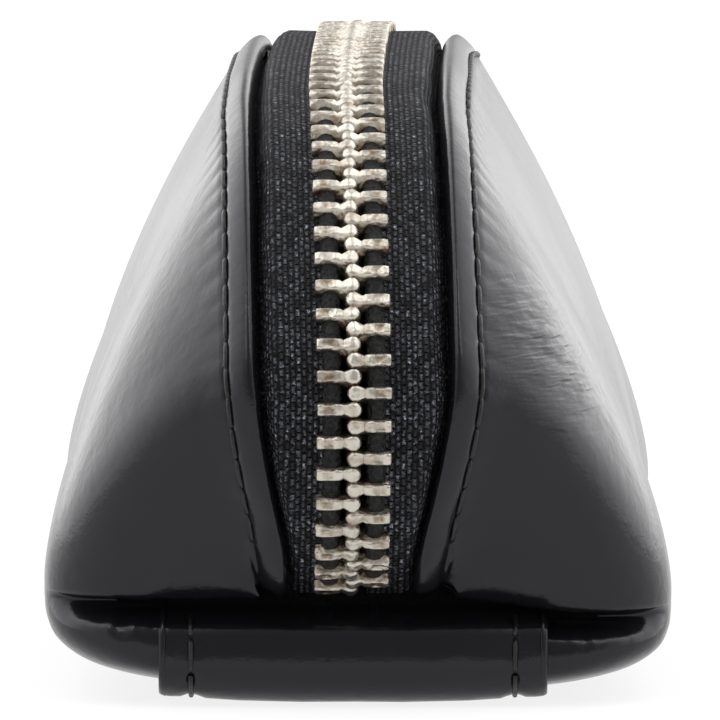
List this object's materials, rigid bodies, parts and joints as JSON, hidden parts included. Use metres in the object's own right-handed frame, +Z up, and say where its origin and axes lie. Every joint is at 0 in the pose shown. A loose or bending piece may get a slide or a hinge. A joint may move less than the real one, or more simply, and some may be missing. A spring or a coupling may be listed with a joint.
{
  "type": "coin purse",
  "caption": "Small boxed leather coin purse with a metal zip running up one end, over the top and down the other; two soft sides part when the zip is drawn",
  "frame": {"origin": "middle of the flat underside of the base strip", "axes": "X across the zip, Y along the purse with the pictured end at -Y, Z up"},
  "size_m": [0.0498, 0.1292, 0.0494],
  "materials": {
    "leather": "smooth black leather, glossy",
    "lining": "plain woven lining",
    "tape": "woven zip tape",
    "teeth": "worn nickel",
    "hardware": "nickel plate",
    "board": "fibre board"
  },
  "bodies": {
    "base": {"base_strip": "leather", "base_stiffener": "board", "base_lining": "lining", "left_flange": "leather", "right_flange": "leather", "near_seam_binding": "lining", "far_seam_binding": "lining", "zip_end_tab": "leather"},
    "left_half": {"left_panel": "leather", "left_lining": "lining", "left_tape": "tape", "left_teeth": "teeth", "left_top_stop": "hardware"},
    "right_half": {"right_panel": "leather", "right_lining": "lining", "right_tape": "tape", "right_teeth": "teeth", "right_top_stop": "hardware"},
    "slider": {"slider_body": "hardware", "slider_crown": "hardware", "lock_pawl": "hardware"},
    "pull": {"pull_tab": "hardware"}
  },
  "joints": [
    {"name": "left_open", "type": "hinge", "parent": "base", "child": "left_half", "pos_m": [-0.0254, 0, 0.0082], "axis": [0, -1, 0], "range_deg": [0, 14], "deforming": ["left_teeth", "left_tape"]},
    {"name": "right_open", "type": "hinge", "parent": "base", "child": "right_half", "pos_m": [0.0254, 0, 0.0082], "axis": [0, 1, 0], "range_deg": [0, 14], "deforming": ["right_teeth", "right_tape"]},
    {"name": "slider_travel", "type": "hinge", "parent": "base", "child": "slider", "pos_m": [0, 0.0265, 0.01008], "axis": [1, 0, 0], "range_deg": [0, 36]},
    {"name": "pull_swing", "type": "hinge", "parent": "slider", "child": "pull", "pos_m": [0, 0.05673, 0.03643], "axis": [1, 0, 0], "range_deg": [0, 150]}
  ],
  "couplings": [
    {"joint": "right_open", "follows": "left_open", "ratio": 1}
  ]
}
